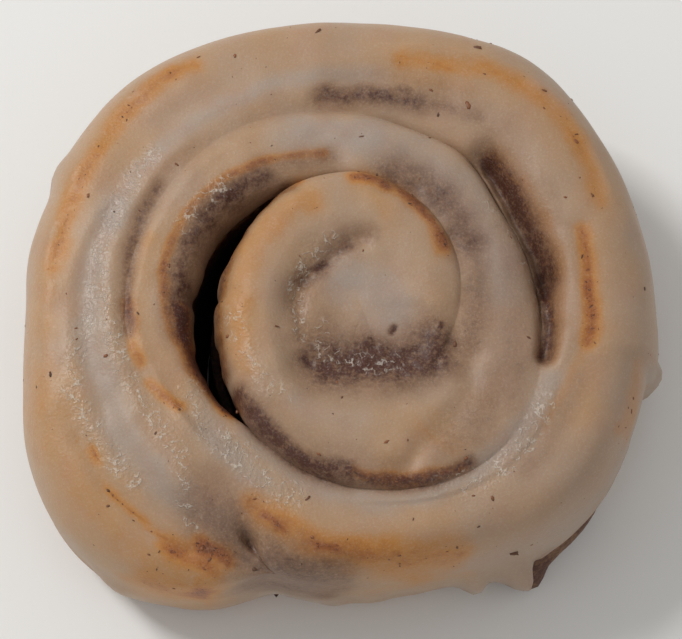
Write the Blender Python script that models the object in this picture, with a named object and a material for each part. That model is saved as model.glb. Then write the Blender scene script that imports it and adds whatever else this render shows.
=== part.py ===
"""An iced cinnamon roll: one coil of risen dough, the cinnamon filling rolled up in it, and the icing poured over it.

The coil is read by the angle travelled along it. At each angle the dough lies between two seams: the one where it
meets the turn inside it, a full turn earlier, and the one where it meets the turn outside it. Past the place where
the last seam comes out at the side, that outer line is the rim of the roll, and it runs once round to the tail.
"""

import bmesh
import bpy
import numpy as np

MM = 0.001

# Angles along the coil, in degrees. 0 points along +X, and the coil runs anticlockwise from the core to the tail.
TURN = 360
ROW_STEP = 6
CORE_START = -270
SEAM_EXIT = 972
TAIL_END = SEAM_EXIT + TURN

# Stations are (angle along the coil, size in millimetres), and what lies between them is a smooth curve.
# The seam's distance from the axis: it starts beside the core, comes out at SEAM_EXIT and goes on as the rim.
SEAM = (
    (CORE_START, 0), (-252, 1.2), (-180, 3.0), (-90, 5.4), (0, 8.6), (60, 11.4),
    (90, 12.3), (135, 11.0), (180, 10.7), (225, 12.6), (270, 14.3), (315, 14.7), (360, 16.2), (405, 20.0),
    (450, 24.5), (495, 26.2), (540, 26.7), (585, 27.3), (630, 30.3), (675, 33.1), (720, 30.1), (765, 30.8),
    (810, 36.1), (855, 39.6), (900, 39.7), (930, 36.9), (950, 36.8), (962, 41.0), (SEAM_EXIT, 45.5),
    (990, 43.8), (1005, 43.6), (1035, 49.6), (1080, 51.0), (1125, 56.4), (1170, 58.2), (1215, 62.0),
    (1260, 58.6), (1290, 61.4), (1308, 58.0), (1320, 52.5), (TAIL_END, 45.5),
)
# The height of the iced crown of each turn.
CROWN = (
    (CORE_START, 38.0), (90, 38.0), (180, 38.0), (270, 38.2), (360, 39.0), (450, 40.6), (495, 41.6), (540, 42.0),
    (585, 41.4), (630, 39.8), (675, 38.2), (720, 37.4), (765, 37.8), (810, 37.8), (855, 38.2), (900, 38.2),
    (945, 36.8), (990, 35.2), (1035, 35.6), (1080, 37.6), (1125, 38.2), (1170, 37.4), (1215, 36.8), (1260, 36.8),
    (1290, 36.0), (1308, 34.0), (1320, 31.5), (TAIL_END, 27.0),
)
# The height of the icing in each crevice, and past SEAM_EXIT of the roll's widest line.
RIM_HEIGHT = 20.0
CREVICE = (
    (CORE_START, 38.0), (60, 38.0), (100, 37.0), (135, 35.8), (180, 36.0), (225, 34.6), (270, 33.0), (315, 33.6),
    (345, 35.8), (373, 36.6), (405, 36.6), (450, 36.4), (477, 34.0), (500, 30.5), (565, 30.5), (590, 35.5),
    (630, 35.2), (660, 36.0), (690, 37.2), (708, 35.0), (725, 32.0), (765, 31.5), (790, 34.0), (815, 33.4),
    (845, 34.6), (900, 34.2), (935, 35.0), (950, 34.0), (962, 31.0), (SEAM_EXIT, 27.0),
    (999, RIM_HEIGHT), (1305, RIM_HEIGHT), (TAIL_END, 27.0),
)
# The crown's last stretch, in height above its end, over which the icing thins to nothing.
CROWN_END_DEPTH = 4.0
# How far across each turn its highest line lies, from the inner seam at 0 to the outer one at 1.
CREST = (
    (CORE_START, 0.5), (90, 0.4), (200, 0.12), (320, 0.12), (420, 0.45), (540, 0.5), (900, 0.5), (990, 0.42),
    (1080, 0.45), (1125, 0.55), (1170, 0.6), (1290, 0.62), (TAIL_END, 0.55),
)
# Half the width of the slot that the filling lies in. The last of the dough is pinched shut without filling.
SLOT = ((78, 0), (126, 1.0), (918, 1.0), (954, 0))
# Half the width of the gap where the turns have baked apart, which stays open from the top down.
GAP = ((474, 0), (504, 1.5), (540, 1.9), (570, 1.3), (588, 0))
# The icing's thickness on the crowns, over the crevices and on the side.
ICING_TOP = 1.4
ICING_CREVICE = ((CORE_START, ICING_TOP), (60, ICING_TOP), (126, 2.4), (918, 2.4), (954, 1.2), (SEAM_EXIT, 0.6))
ICING_SIDE = ((900, 0), (945, 1.0), (SEAM_EXIT, 1.6))
# How low the icing has run down the side. The tongues are drips, and near 1040 the side is bare.
ICING_EDGE = (
    (SEAM_EXIT, 5.0), (990, 5.5), (1008, 2.5), (1017, 5.0), (1026, 12.0), (1035, 15.0), (1044, 15.5), (1053, 12.0),
    (1062, 4.0), (1071, 6.5), (1080, 8.0), (1107, 9.0), (1134, 6.0), (1161, 9.5), (1188, 7.5), (1215, 9.5),
    (1233, 4.5), (1251, 7.5), (1269, 4.0), (1287, 7.0), (1305, 3.0), (1323, 5.0), (TAIL_END, 5.0),
)
# The gap that touching pieces keep, and the wider one between the icing and the sloping side.
CLEARANCE = 0.35
SIDE_CLEARANCE = 0.55
FILLING_THICKNESS = 1.3
FILLING_START, FILLING_END = 114, 930
FILLING_FOOT = 0.35
FILLING_DIP = 0.4
FILLING_TOP_IN_GAP = 20.0
# The crowns' squareness: 1 is a round arch, and less makes the top flatter and the sides steeper.
SQUARENESS = 0.8
# The dough's side below its widest line, as (share of that height, how far it draws in).
SIDE = ((1.0, 0.0), (0.7, 0.0), (0.4, 0.5), (0.14, 1.9), (0.0, 4.2))

ROWS = np.arange(CORE_START, TAIL_END + 1, ROW_STEP)
ROWS_PER_TURN = TURN // ROW_STEP
RIM_ROWS = ROWS[ROWS >= SEAM_EXIT]
# The columns across a turn, from the inner seam through the crest to the outer one.
COLUMNS = np.array((0.0, 0.1, 0.22, 0.36, 0.5, 0.64, 0.78, 0.9, 1.0))

DOUGH_COLOUR = (0.72, 0.47, 0.25)
FILLING_COLOUR = (0.11, 0.045, 0.025)
ICING_COLOUR = (0.62, 0.53, 0.41)


def along(stations, angles):
    """The value at each angle on a smooth curve through the stations, which holds its end values beyond them."""
    x, y = np.array(stations, float).T
    step = np.diff(x)
    rise = np.diff(y) / step
    before, after = rise[:-1], rise[1:]
    steepest = 3 * np.minimum(abs(before), abs(after))
    slope = np.zeros_like(y)
    slope[1:-1] = np.where(before * after > 0, np.sign(after) * np.minimum(abs(before + after) / 2, steepest), 0)
    at = np.clip(angles, x[0], x[-1])
    k = np.clip(np.searchsorted(x, at, side="right") - 1, 0, len(step) - 1)
    t = (at - x[k]) / step[k]
    bend = step[k] * t * (1 - t) * (slope[k] * (1 - t) - slope[k + 1] * t)
    return y[k] + (y[k + 1] - y[k]) * t * t * (3 - 2 * t) + bend


def place(angles, radii, heights):
    """Points in metres from angles in degrees, and radii and heights in millimetres."""
    turned = np.radians(np.broadcast_to(np.mod(angles, TURN), radii.shape))
    return np.stack([radii * np.cos(turned), radii * np.sin(turned), heights], -1) * MM


def line_of_seam(angles, clear_by=0):
    """The seam's radius under the icing. Where the seam is the rim, it lies in by the icing's side less clear_by."""
    return along(SEAM, angles) - np.maximum(along(ICING_SIDE, angles) - clear_by, 0)


def crowns(seam, slot, crown_sink, crevice_sink):
    """The arched tops of all the turns, as rows along the coil and columns across it.

    seam, slot and crevice_sink give the seam's radius, half the opening along it and the depth below the icing's
    crevice, each from the angles. Each half of a turn is a quarter of a superellipse from the crevice to the crest.
    """
    inner = np.where(ROWS < CORE_START + TURN, 0, seam(ROWS - TURN) + slot(ROWS - TURN))
    outer = seam(ROWS) - slot(ROWS)
    floor_in = along(CREVICE, ROWS - TURN) - crevice_sink(ROWS - TURN)
    floor_out = along(CREVICE, ROWS) - crevice_sink(ROWS)
    top = along(CROWN, ROWS)
    top = top - crown_sink * np.clip((top - CROWN[-1][1]) / CROWN_END_DEPTH, 0, 1)
    top[-1] = floor_out[-1]
    crest = along(CREST, ROWS)
    swing = np.radians(90 * (1 - abs(2 * COLUMNS - 1)))
    reach = 1 - np.cos(swing) ** SQUARENESS
    drop = 1 - np.sin(swing) ** SQUARENESS
    share = np.where(COLUMNS <= 0.5, crest[:, None] * reach, 1 - (1 - crest[:, None]) * reach)
    floor = np.where(COLUMNS <= 0.5, floor_in[:, None], floor_out[:, None])
    radii = inner[:, None] + (outer - inner)[:, None] * share
    heights = top[:, None] - (top[:, None] - floor) * drop
    return radii, heights


def filling_slot(angles):
    """Half the width of the slot in the dough, with the gap added where the turns stand apart."""
    return along(SLOT, angles) + along(GAP, angles)


def open_gap(angles):
    """Half the width of the opening in the icing's top."""
    return along(GAP, angles)


def icing_slot(angles):
    """Half the width of the opening in the icing's underside, which keeps clear of the filling's slot."""
    return along(GAP, angles) + np.maximum(along(SLOT, angles) - CLEARANCE, 0) * (along(GAP, angles) > 0)


def crevice_icing(angles):
    """The icing's thickness over the crevices."""
    return along(ICING_CREVICE, angles)


def skin_of(points):
    """Triangles for a grid of points, every square split along the same diagonal."""
    rows, columns = points.shape[:2]
    index = np.arange(rows * columns).reshape(rows, columns)
    a, b = index[:-1, :-1].ravel(), index[1:, :-1].ravel()
    c, d = index[1:, 1:].ravel(), index[:-1, 1:].ravel()
    return points.reshape(-1, 3), np.concatenate([np.stack([a, b, c], -1), np.stack([a, c, d], -1)])


def solid(name, grids, colour, roughness):
    """One closed object from grids of points that meet along their edges."""
    points, faces, count = [], [], 0
    for grid in grids:
        corners, triangles = skin_of(grid)
        points.append(corners)
        faces.append(triangles + count)
        count += len(corners)
    mesh = bpy.data.meshes.new(name)
    mesh.from_pydata(np.concatenate(points).tolist(), [], np.concatenate(faces).tolist())
    work = bmesh.new()
    work.from_mesh(mesh)
    bmesh.ops.remove_doubles(work, verts=work.verts, dist=0.000001)
    bmesh.ops.recalc_face_normals(work, faces=work.faces)
    work.to_mesh(mesh)
    work.free()
    mesh.shade_smooth()
    material = bpy.data.materials.new(name)
    material.use_nodes = True
    shader = material.node_tree.nodes["Principled BSDF"]
    shader.inputs["Base Color"].default_value = (*colour, 1)
    shader.inputs["Roughness"].default_value = roughness
    mesh.materials.append(material)
    made = bpy.data.objects.new(name, mesh)
    bpy.context.scene.collection.objects.link(made)
    return made


def make_dough():
    """The coil of dough: arched tops, a flat base, the rounded side, and the slot that the filling lies in."""
    radii, heights = crowns(line_of_seam, filling_slot, ICING_TOP, crevice_icing)
    grids = [place(ROWS[:, None], radii, heights)]

    last = ROWS >= SEAM_EXIT
    share, lean = np.array(SIDE).T
    side_radii = radii[last, -1][:, None] - lean
    side_heights = heights[last, -1][:, None] * share
    grids.append(place(RIM_ROWS[:, None], side_radii, side_heights))

    foot_in = np.where(ROWS < CORE_START + TURN, 0, line_of_seam(ROWS - TURN) + along(SLOT, ROWS - TURN))
    foot_out = line_of_seam(ROWS) - along(SLOT, ROWS)
    foot_out[last] = side_radii[:, -1]
    foot_in[-1] = foot_out[-1]
    foot = np.stack([foot_in, foot_out], 1)
    grids.append(place(ROWS[:, None], foot, np.zeros_like(foot)))

    slit = np.nonzero((ROWS >= SLOT[0][0]) & (ROWS <= SLOT[-1][0]))[0]
    for rows, column in ((slit, -1), (slit + ROWS_PER_TURN, 0)):
        sides = np.stack([radii[rows, column], foot[rows, column]], 1)
        depths = np.stack([heights[rows, column], 0 * rows], 1)
        grids.append(place(ROWS[rows][:, None], sides, depths))
    return solid("dough", grids, DOUGH_COLOUR, 0.7)


def make_filling():
    """The cinnamon filling: a thin strip that lies in the slot for the roll's whole height."""
    angles = ROWS[(ROWS >= FILLING_START) & (ROWS <= FILLING_END)]
    brim = along(CREVICE, angles) - crevice_icing(angles)
    bared = np.clip(along(GAP, angles), 0, 1)
    top = (brim - FILLING_DIP) * (1 - bared) + FILLING_TOP_IN_GAP * bared
    foot = np.full(len(angles), FILLING_FOOT)
    inner_foot = line_of_seam(angles) - along(SLOT, angles) + CLEARANCE
    inner_top = inner_foot - along(GAP, angles) * top / brim
    width = np.minimum(FILLING_THICKNESS, 2 * (along(SLOT, angles) - CLEARANCE))
    ring = place(
        angles[:, None],
        np.stack([inner_foot, inner_top, inner_top + width, inner_foot + width, inner_foot], 1),
        np.stack([foot, top, top, foot, foot], 1),
    )
    ends = [np.stack([ring[k, :2], ring[k, 3:1:-1]]) for k in (0, -1)]
    return solid("cinnamon_filling", [ring, *ends], FILLING_COLOUR, 0.6)


def make_icing():
    """The icing: a skin that follows the crowns, bridges the crevices and has run down the side."""
    upper_radii, upper_heights = crowns(lambda angles: along(SEAM, angles), open_gap, 0, np.zeros_like)
    lower_radii, lower_heights = crowns(
        lambda angles: line_of_seam(angles, SIDE_CLEARANCE),
        icing_slot,
        ICING_TOP - CLEARANCE,
        lambda angles: crevice_icing(angles) - CLEARANCE,
    )
    grids = [place(ROWS[:, None], upper_radii, upper_heights), place(ROWS[:, None], lower_radii, lower_heights)]

    gap = np.nonzero((ROWS >= GAP[0][0]) & (ROWS <= GAP[-1][0]))[0]
    for rows, column in ((gap, -1), (gap + ROWS_PER_TURN, 0)):
        lips = np.stack([upper_radii[rows, column], lower_radii[rows, column]], 1)
        depths = np.stack([upper_heights[rows, column], lower_heights[rows, column]], 1)
        grids.append(place(ROWS[rows][:, None], lips, depths))

    last = ROWS >= SEAM_EXIT
    edge = along(ICING_EDGE, RIM_ROWS)
    share, lean = np.array(SIDE).T
    skins = []
    for radii, top in ((upper_radii, upper_heights), (lower_radii, lower_heights)):
        rim, widest = radii[last, -1], top[last, -1]
        heights = np.maximum(widest[:, None] * share, edge[:, None])
        drawn = np.interp(heights / widest[:, None], share[::-1], lean[::-1])
        skins.append(place(RIM_ROWS[:, None], rim[:, None] - drawn, heights))
    grids += [*skins, np.stack([skins[0][:, -1], skins[1][:, -1]], 1)]
    return solid("icing", grids, ICING_COLOUR, 0.35)


def centre_on_base(objects):
    """Moves all the pieces so that the middle of the roll's outline stands on the origin."""
    corners = np.array([vertex.co for made in objects for vertex in made.data.vertices])
    middle = (corners.min(0) + corners.max(0)) / 2
    for made in objects:
        for vertex in made.data.vertices:
            vertex.co.x -= middle[0]
            vertex.co.y -= middle[1]


for old in list(bpy.data.objects):
    bpy.data.objects.remove(old)
dough = make_dough()
filling = make_filling()
icing = make_icing()
centre_on_base((dough, filling, icing))
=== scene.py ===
"""An iced cinnamon roll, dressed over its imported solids: the coil, its filling, the icing and the spice in it."""

import bmesh
import bpy
import numpy as np
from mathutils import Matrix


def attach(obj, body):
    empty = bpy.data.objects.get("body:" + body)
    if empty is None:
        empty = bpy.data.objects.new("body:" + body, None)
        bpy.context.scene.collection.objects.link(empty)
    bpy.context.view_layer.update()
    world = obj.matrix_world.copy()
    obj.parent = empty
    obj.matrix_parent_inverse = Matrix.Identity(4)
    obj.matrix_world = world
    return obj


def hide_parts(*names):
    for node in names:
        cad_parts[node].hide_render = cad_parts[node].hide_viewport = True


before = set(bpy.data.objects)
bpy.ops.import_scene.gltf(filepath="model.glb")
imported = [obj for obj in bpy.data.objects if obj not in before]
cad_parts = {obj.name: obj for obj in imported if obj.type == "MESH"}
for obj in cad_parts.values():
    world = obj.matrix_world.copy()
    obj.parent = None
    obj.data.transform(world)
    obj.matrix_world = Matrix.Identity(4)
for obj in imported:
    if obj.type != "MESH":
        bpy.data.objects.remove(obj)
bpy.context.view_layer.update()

# The baked coil
# One strip of yeast dough, rolled up round its filling, cut across, proved and baked standing on the cut. It carries
# everything else. Its crumb is cream, its crust golden to brown, and its underside is dark from the hot tray.

MM = 0.001
# Angles along the coil are in degrees, anticlockwise, with 0 along +X. Sizes are in millimetres.
TURN = 360
CORE_START = -270
SEAM_EXIT = 972
TAIL_END = SEAM_EXIT + TURN
ROUNDING = 0.001
AXIS = (3.67, -6.43)
RIM_HEIGHT = 20.0
NOTCH_HEIGHT = 29.5
# Stations are (angle along the coil, size), with a smooth curve between them.
# How far the seam between two turns lies from the axis. Past SEAM_EXIT it is the roll's rim.
SEAM = (
    (CORE_START, 0), (-252, 1.2), (-180, 3.0), (-90, 5.4), (0, 8.6), (60, 11.4),
    (90, 12.3), (135, 11.0), (180, 10.7), (225, 12.6), (270, 14.3), (315, 14.7), (360, 16.2), (405, 20.0),
    (450, 24.5), (495, 26.2), (540, 26.7), (585, 27.3), (630, 30.3), (675, 33.1), (720, 30.1), (758, 30.6),
    (777, 33.6), (793, 34.3), (810, 36.1), (855, 39.6), (900, 39.7), (930, 36.9), (950, 36.8),
    (962, 41.0), (SEAM_EXIT, 45.5), (990, 43.8), (1005, 43.6), (1035, 49.6), (1080, 51.0), (1125, 56.4),
    (1170, 58.2), (1215, 62.0), (1260, 58.6), (1290, 61.4), (1308, 58.0), (1320, 52.5), (TAIL_END, 45.5),
)
# How high the iced crown of each turn is.
CROWN = (
    (CORE_START, 38.0), (90, 38.0), (180, 38.0), (270, 38.2), (360, 39.0), (450, 40.6), (495, 41.6), (540, 42.0),
    (585, 41.4), (630, 39.8), (675, 38.2), (720, 37.4), (765, 37.8), (810, 37.8), (855, 38.2), (900, 38.2),
    (945, 36.8), (990, 35.7), (1035, 36.4), (1080, 37.6), (1125, 38.2), (1170, 37.4), (1215, 36.8), (1260, 36.8),
    (1290, 36.0), (1308, 34.0), (1320, 32.0), (TAIL_END, NOTCH_HEIGHT),
)
# The last stretch of a crown's fall to the notch, over which its icing thins out.
THINNING = 4.0
# How high the icing lies in each crevice, and past SEAM_EXIT how high the roll is widest.
CREVICE = (
    (CORE_START, 38.0), (60, 38.0), (100, 37.0), (135, 35.8), (180, 36.0), (225, 34.6), (270, 33.0), (315, 33.6),
    (345, 35.8), (373, 36.6), (405, 36.6), (450, 36.4), (477, 34.0), (500, 30.5), (565, 30.5), (590, 35.5),
    (630, 35.2), (660, 35.3), (690, 36.1), (708, 34.8), (725, 32.0), (765, 31.5), (790, 34.0), (815, 33.4),
    (845, 34.6), (900, 34.2), (935, 35.0), (950, 34.0), (962, 32.2), (SEAM_EXIT, NOTCH_HEIGHT),
    (999, RIM_HEIGHT), (1305, RIM_HEIGHT), (TAIL_END, NOTCH_HEIGHT),
)
# How far across a turn its highest line lies: 0 at the inner seam, 1 at the outer one.
CREST = (
    (CORE_START, 0.5), (90, 0.4), (200, 0.12), (320, 0.12), (420, 0.45), (540, 0.5), (900, 0.5), (990, 0.42),
    (1080, 0.45), (1125, 0.55), (1170, 0.6), (1290, 0.62), (TAIL_END, 0.55),
)
SQUARENESS = 0.8
# Half the width of the slot for the filling, and of the gap where two turns have baked apart.
SLOT = ((78, 0), (126, 1.0), (918, 1.0), (954, 0))
GAP = ((474, 0), (504, 1.5), (540, 1.9), (570, 1.3), (588, 0))
# The icing's thickness on the crowns, in the crevices and on the side.
ICING_TOP = 1.4
SIDE_THICKNESS = 1.6
ICING_CREVICE = ((CORE_START, ICING_TOP), (60, ICING_TOP), (126, 2.4), (918, 2.4), (954, 1.2), (SEAM_EXIT, 0.6))
ICING_SIDE = ((900, 0), (945, 1.0), (SEAM_EXIT, SIDE_THICKNESS))
# How far the side lies in from the rim, by the share of the rim's height.
SIDE_LEAN = ((0.0, 4.2), (0.14, 1.9), (0.4, 0.5), (0.7, 0.0), (1.0, 0.0))
# How far the rim swells or shrinks from the seam's curve.
RIM_SWELL = (
    (SEAM_EXIT, 0), (1010, 0), (1022, -1.0), (1070.5, -1.0), (1073, 0.6), (1084, -0.3), (1095, -0.9),
    (1108, -1.4), (1118, -1.2), (1128, -0.4), (1140, 0.5), (1150, 0.3), (1162, -0.9), (1181, -1.6), (1196, -1.3),
    (1210, -0.3), (1228, 0), (1231.5, 0.7), (1235, -0.2), (1241, -0.5), (1248, -0.1), (1257, -0.7),
    (1270, -0.6), (1281, 0), (TAIL_END, 0),
)


def along(stations, angles):
    """The value at each angle on a smooth curve through the stations: a cubic for each span, with no overshoot."""
    x, y = np.array(stations, float).T
    step = np.diff(x)
    rise = np.diff(y) / step
    before, after = rise[:-1], rise[1:]
    steepest = 3 * np.minimum(abs(before), abs(after))
    slope = np.zeros_like(y)
    slope[1:-1] = np.where(before * after > 0, np.sign(after) * np.minimum(abs(before + after) / 2, steepest), 0)
    at = np.clip(angles, x[0], x[-1])
    k = np.clip(np.searchsorted(x, at, side="right") - 1, 0, len(step) - 1)
    t = (at - x[k]) / step[k]
    bend = step[k] * t * (1 - t) * (slope[k] * (1 - t) - slope[k + 1] * t)
    return y[k] + (y[k + 1] - y[k]) * t * t * (3 - 2 * t) + bend


def place(angles, radii, heights):
    """Points in millimetres round the coil's axis, from angles in degrees, radii and heights."""
    turned = np.radians(np.broadcast_to(np.mod(angles, TURN), np.shape(radii)))
    return np.stack([radii * np.cos(turned) + AXIS[0], radii * np.sin(turned) + AXIS[1], heights], -1)


def polar(points):
    """Each point's angle in degrees and its radius, about the coil's axis."""
    x, y = points[..., 0] - AXIS[0], points[..., 1] - AXIS[1]
    return np.degrees(np.arctan2(y, x)), np.hypot(x, y)


def lumps(points, size, seed):
    """Smooth bumps from -1 to 1, about size across: random values on a lattice, eased between its corners."""
    at = points / size + 31.7 * seed
    cell = np.floor(at).astype(np.int64)
    part = at - cell
    ease = part ** 3 * (part * (part * 6 - 15) + 10)
    total = np.zeros(points.shape[:-1])
    for corner in np.ndindex(2, 2, 2):
        key = ((cell + corner) * (73856093, 19349663, 83492791)).sum(-1) + seed * 668265263
        key = (key ^ (key >> 13)) * 1274126177 % 2147483647
        weight = np.where(corner, ease, 1 - ease).prod(-1)
        total += weight * (key % 65536 / 32767.5 - 1)
    return total


def soft_step(low, high, values):
    """0 below low, 1 above high, and an eased rise between them."""
    t = np.clip((values - low) / (high - low), 0, 1)
    return t * t * (3 - 2 * t)


def streak(points, path, half_width, wobble=0.5):
    """How much a streak covers each point: 1 on its line, falling off as a bell.

    path holds (angle, radius) stations. Past an end, the distance is taken to the end, so that it is round. Noise
    moves the line by up to wobble millimetres.
    """
    angle, radius = polar(points)
    stations, line = np.array(path, float).T
    middle = (stations[0] + stations[-1]) / 2
    near = middle + np.mod(angle - middle + 180, 360) - 180
    past = np.maximum(np.maximum(stations[0] - near, near - stations[-1]), 0)
    off = radius - np.interp(near, stations, line) + wobble * lumps(points, 3.5, 21)
    return np.exp(-(off ** 2 + (np.radians(past) * radius) ** 2) / half_width ** 2)


# Hollows that the dough and the icing share: (depth, half width, stations of angle and radius).
SUNKEN = (
    (-2.6, 2.3, ((1090, 31.9), (1102, 32.4), (1114, 33.0), (1125, 34.3), (1133, 35.6))),
    (-2.2, 1.5, ((1066, 31.4), (1080, 31.7), (1092, 31.9))),
    (-2.4, 1.2, ((1094, 31.3), (1104, 31.6), (1114, 31.9), (1124, 32.9), (1130, 34.0))),
    (-1.7, 4.6, ((231, 12.0), (253, 10.2), (291, 9.9), (325, 12.0))),
    (-1.1, 1.8, ((452, 12.2), (463, 11.5), (480, 10.6), (492, 10.2), (504, 10.5), (534, 11.3))),
    (-2.2, 1.25, ((963.5, 42.6), (965, 43.0))),
    (-2.4, 4.5, ((1150, 58.5), (1170, 59.0), (1215, 62.0), (1236, 60.0))),
)


def sunk(points):
    """The depth of the shared hollows at each point."""
    return sum(depth * streak(points, path, half_width, 0.3) for depth, half_width, path in SUNKEN)


def mesh_piece(name, grids, paints, material):
    """One object from grids of points in millimetres that meet along their edges.

    Each square of a grid is a face. Points in the same place become one. paints gives each grid four masks, which
    the material reads as the attribute "paint".
    """
    points, faces, masks, count = [], [], [], 0
    for grid, paint in zip(grids, paints):
        rows, columns = grid.shape[:2]
        index = np.arange(rows * columns).reshape(rows, columns) + count
        faces.append(np.stack([index[:-1, :-1], index[1:, :-1], index[1:, 1:], index[:-1, 1:]], -1).reshape(-1, 4))
        points.append(grid.reshape(-1, 3) * MM)
        masks.append(np.broadcast_to(paint, (rows, columns, 4)).reshape(-1, 4))
        count += rows * columns
    mesh = bpy.data.meshes.new(name)
    mesh.from_pydata(np.concatenate(points), [], np.concatenate(faces))
    mesh.attributes.new("paint", "FLOAT_COLOR", "POINT").data.foreach_set("color", np.concatenate(masks).ravel())
    work = bmesh.new()
    work.from_mesh(mesh)
    bmesh.ops.remove_doubles(work, verts=work.verts, dist=0.000002)
    bmesh.ops.recalc_face_normals(work, faces=work.faces)
    work.to_mesh(mesh)
    work.free()
    mesh.shade_smooth()
    mesh.materials.append(material)
    made = bpy.data.objects.new(name, mesh)
    bpy.context.scene.collection.objects.link(made)
    return made


def rows_of(step):
    """The angles of the rows along the whole coil, a step apart."""
    return np.linspace(CORE_START, TAIL_END, round((TAIL_END - CORE_START) / step) + 1)


def rows_within(rows, stations):
    """The numbers of the rows from the first station to the last."""
    return np.nonzero((rows >= stations[0][0] - ROUNDING) & (rows <= stations[-1][0] + ROUNDING))[0]


def in_core(rows):
    """True in the innermost turn, which has no turn inside it."""
    return rows < CORE_START + TURN - ROUNDING


def rim_in(angles, clear_by=0):
    """The seam's radius under the icing. Where the seam is the rim, it lies in by the icing's side less clear_by."""
    return along(SEAM, angles) + along(RIM_SWELL, angles) - np.maximum(along(ICING_SIDE, angles) - clear_by, 0)


def crowns(rows, columns, seam, slot, crown_sink, crevice_sink):
    """The radii and heights of the turns' arched tops, for rows along the coil and columns from 0 to 1 across it.

    Each half of a turn is a quarter of a superellipse, from the crevice beside it up to the crest. slot is half the
    opening at the seam. The two sinks lower the crowns and the crevices, for a surface under the icing.
    """
    inner = np.where(in_core(rows), 0, seam(rows - TURN) + slot(rows - TURN))
    outer = seam(rows) - slot(rows)
    floor_in = along(CREVICE, rows - TURN) - crevice_sink(rows - TURN)
    floor_out = along(CREVICE, rows) - crevice_sink(rows)
    top = along(CROWN, rows)
    top = top - crown_sink * np.clip((top - NOTCH_HEIGHT) / THINNING, 0, 1)
    top[-1] = floor_out[-1]
    crest = along(CREST, rows)
    swing = np.radians(90 * (1 - abs(2 * columns - 1)))
    reach = 1 - np.cos(swing) ** SQUARENESS
    drop = 1 - np.sin(swing) ** SQUARENESS
    share = np.where(columns <= 0.5, crest[:, None] * reach, 1 - (1 - crest[:, None]) * reach)
    floor = np.where(columns <= 0.5, floor_in[:, None], floor_out[:, None])
    radii = inner[:, None] + (outer - inner)[:, None] * share
    return radii, top[:, None] - (top[:, None] - floor) * drop


def nodes_for(name):
    """A new material and its node tree."""
    material = bpy.data.materials.new(name)
    material.use_nodes = True
    return material, material.node_tree


def mix_colour(tree, factor, first, second):
    """The socket of a mix between two colours. Each of the three is a socket or a plain value."""
    node = tree.nodes.new("ShaderNodeMix")
    node.data_type = "RGBA"
    for socket, value in ((node.inputs[0], factor), (node.inputs[6], first), (node.inputs[7], second)):
        if isinstance(value, bpy.types.NodeSocket):
            tree.links.new(value, socket)
        elif isinstance(value, tuple):
            socket.default_value = (*value, 1)
        else:
            socket.default_value = value
    return node.outputs[2]


def maths(tree, operation, *values):
    """The socket of one operation on sockets and plain numbers."""
    node = tree.nodes.new("ShaderNodeMath")
    node.operation = operation
    for socket, value in zip(node.inputs, values):
        if isinstance(value, bpy.types.NodeSocket):
            tree.links.new(value, socket)
        else:
            socket.default_value = value
    return node.outputs[0]


def plus(tree, first, second):
    """The socket of a sum."""
    return maths(tree, "ADD", first, second)


def minus(tree, first, second):
    """The socket of a difference."""
    return maths(tree, "SUBTRACT", first, second)


def times(tree, first, second):
    """The socket of a product."""
    return maths(tree, "MULTIPLY", first, second)


def grain(tree, size, detail=3.0, roughness=0.55):
    """The socket of a noise about size millimetres across, on the object's own coordinates."""
    where = tree.nodes.new("ShaderNodeTexCoord")
    noise = tree.nodes.new("ShaderNodeTexNoise")
    noise.inputs["Scale"].default_value = 1000 / size
    noise.inputs["Detail"].default_value = detail
    noise.inputs["Roughness"].default_value = roughness
    tree.links.new(where.outputs["Object"], noise.inputs["Vector"])
    return noise.outputs["Fac"]


def steps_between(tree, value, low, high):
    """The socket of value eased from 0 at low to 1 at high."""
    node = tree.nodes.new("ShaderNodeMapRange")
    node.interpolation_type = "SMOOTHSTEP"
    node.inputs["From Min"].default_value = low
    node.inputs["From Max"].default_value = high
    tree.links.new(value, node.inputs["Value"])
    return node.outputs["Result"]


CRUMB = (0.475, 0.295, 0.162)
TAN = (0.48, 0.278, 0.132)
ORANGE = (0.51, 0.225, 0.05)
BURNT_ORANGE = (0.36, 0.12, 0.03)
RUSSET = (0.16, 0.05, 0.018)
DARK_CRUST = (0.06, 0.02, 0.012)
# The dark tint of cinnamon stains, also used for painted shade on the icing.
CINNAMON_AND_SHADE_TONE = (0.068, 0.020, 0.013)
BAKED_STEPS = ((0.05, CRUMB), (0.27, TAN), (0.5, ORANGE), (0.7, BURNT_ORANGE), (0.86, RUSSET), (1.0, DARK_CRUST))


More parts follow.
